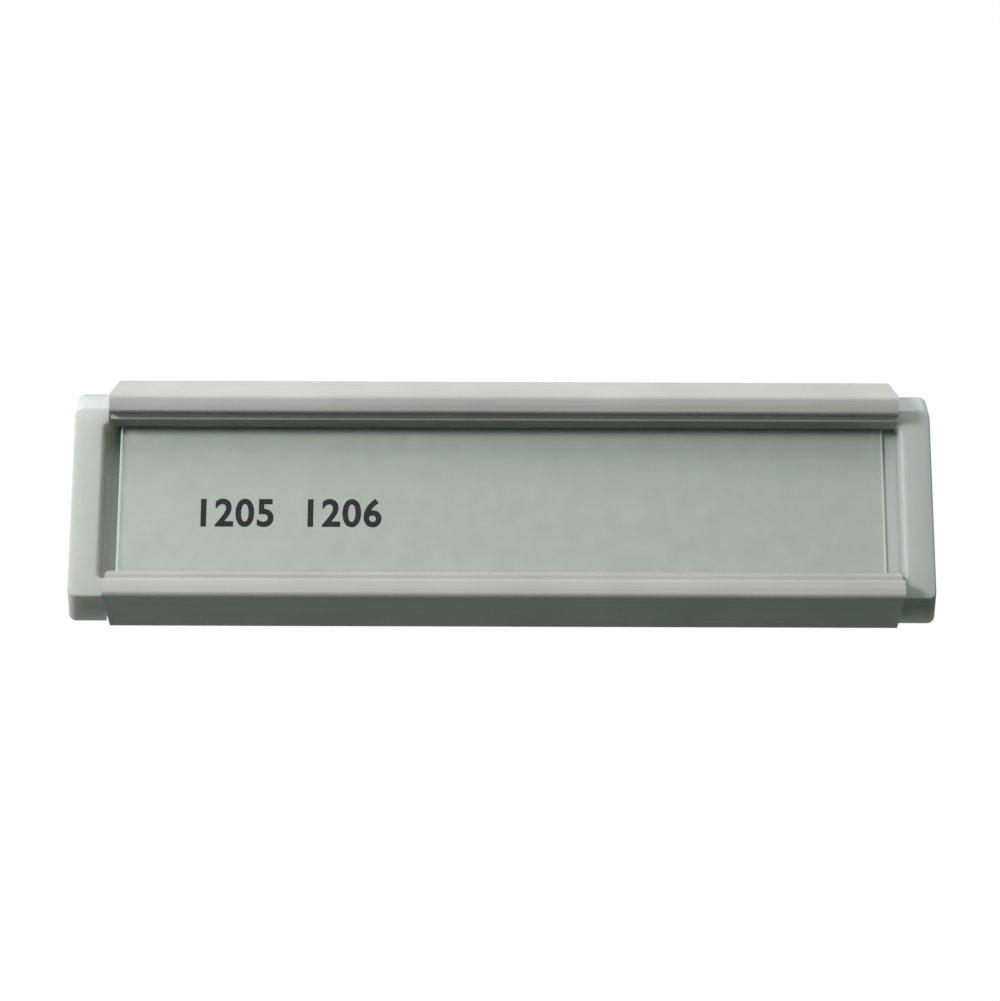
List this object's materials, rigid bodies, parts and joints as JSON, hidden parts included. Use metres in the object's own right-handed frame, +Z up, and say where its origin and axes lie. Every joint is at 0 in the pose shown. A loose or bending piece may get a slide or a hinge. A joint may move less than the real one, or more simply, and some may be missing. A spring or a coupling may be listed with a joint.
{
  "type": "mailbox name plate",
  "caption": "Flat name plate for a mailbox: an extruded channel with flared walls and beaded lips holds a card behind a clear window, closed by plug-in end caps.",
  "frame": {"origin": "centre of the flat back face, which goes against the mailbox", "axes": "+X along the plate to the right, +Y into the mailbox, so the front faces -Y, +Z up"},
  "size_m": [0.1101, 0.006, 0.032],
  "materials": {
    "satin_aluminium": "satin anodised extrusion",
    "cap_plastic": "moulded, slightly translucent",
    "clear_plastic": "clear sheet, cut edges",
    "card_paper": "uncoated card"
  },
  "bodies": {
    "root": {"channel_profile": "satin_aluminium", "left_end_cap": "cap_plastic", "right_end_cap": "cap_plastic", "clear_window": "clear_plastic", "name_card": "card_paper"}
  },
  "joints": []
}
